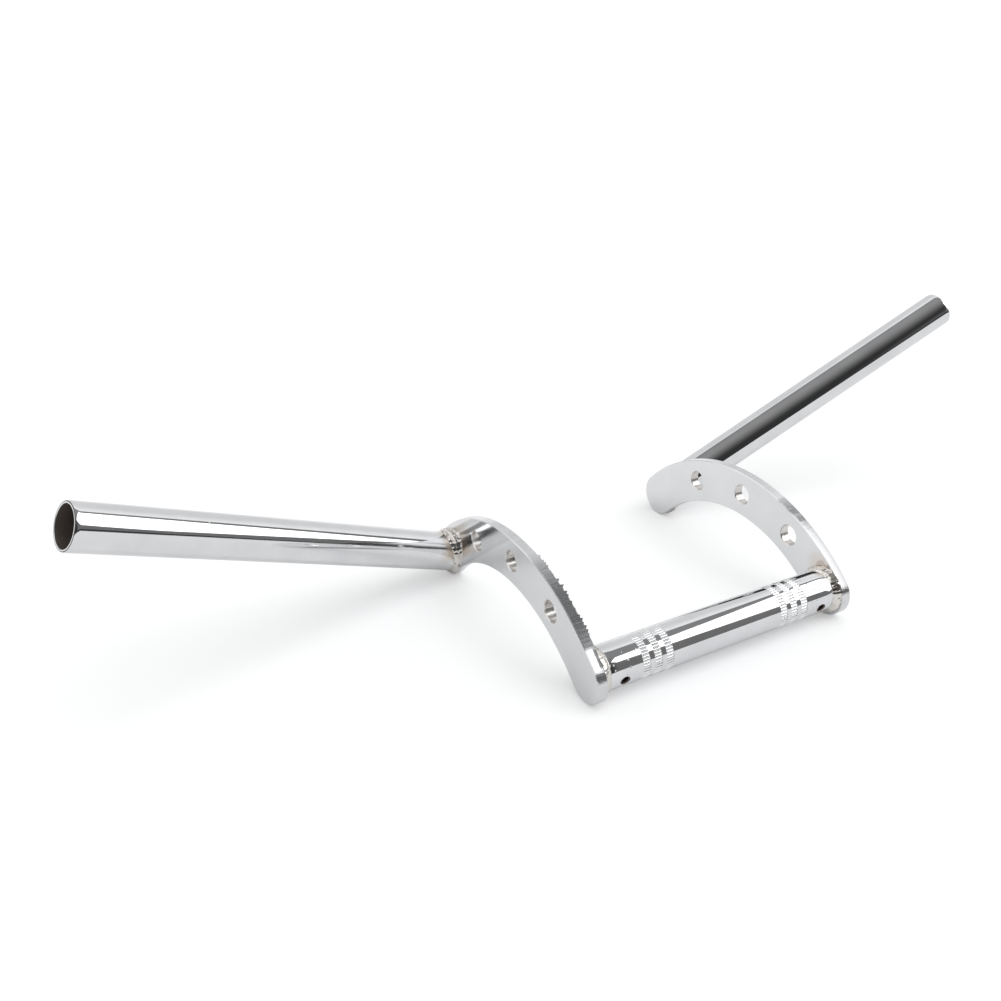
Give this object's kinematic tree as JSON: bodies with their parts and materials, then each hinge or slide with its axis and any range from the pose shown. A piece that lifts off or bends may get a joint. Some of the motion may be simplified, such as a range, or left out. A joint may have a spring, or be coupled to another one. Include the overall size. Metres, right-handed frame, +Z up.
{
  "type": "z-bar handlebar",
  "caption": "Chromed motorcycle handlebar: knurled clamp bar between arched, drilled riser plates, with open grip tubes welded to the outside of the plates.",
  "frame": {"origin": "middle of the clamp bar, on its axis", "axes": "+X along the clamp bar towards the right-hand grip, +Y from the clamp bar towards the grips, +Z up as the bar stands on the ends of its plates with the arches up"},
  "size_m": [0.6394, 0.1952, 0.1415],
  "materials": {
    "chrome_bar": "bright chrome, knurled bands",
    "chrome_plate": "chrome over ground steel plate, satin faces and sawn edges",
    "chrome_grip": "bright chrome, dark inside",
    "weld_bead": "chrome over rough weld, brown heat tint"
  },
  "bodies": {
    "root": {"clamp_bar": "chrome_bar", "left_riser_plate": "chrome_plate", "left_grip_tube": "chrome_grip", "left_bar_weld": "weld_bead", "left_grip_weld": "weld_bead", "right_riser_plate": "chrome_plate", "right_grip_tube": "chrome_grip", "right_bar_weld": "weld_bead", "right_grip_weld": "weld_bead"}
  },
  "joints": []
}
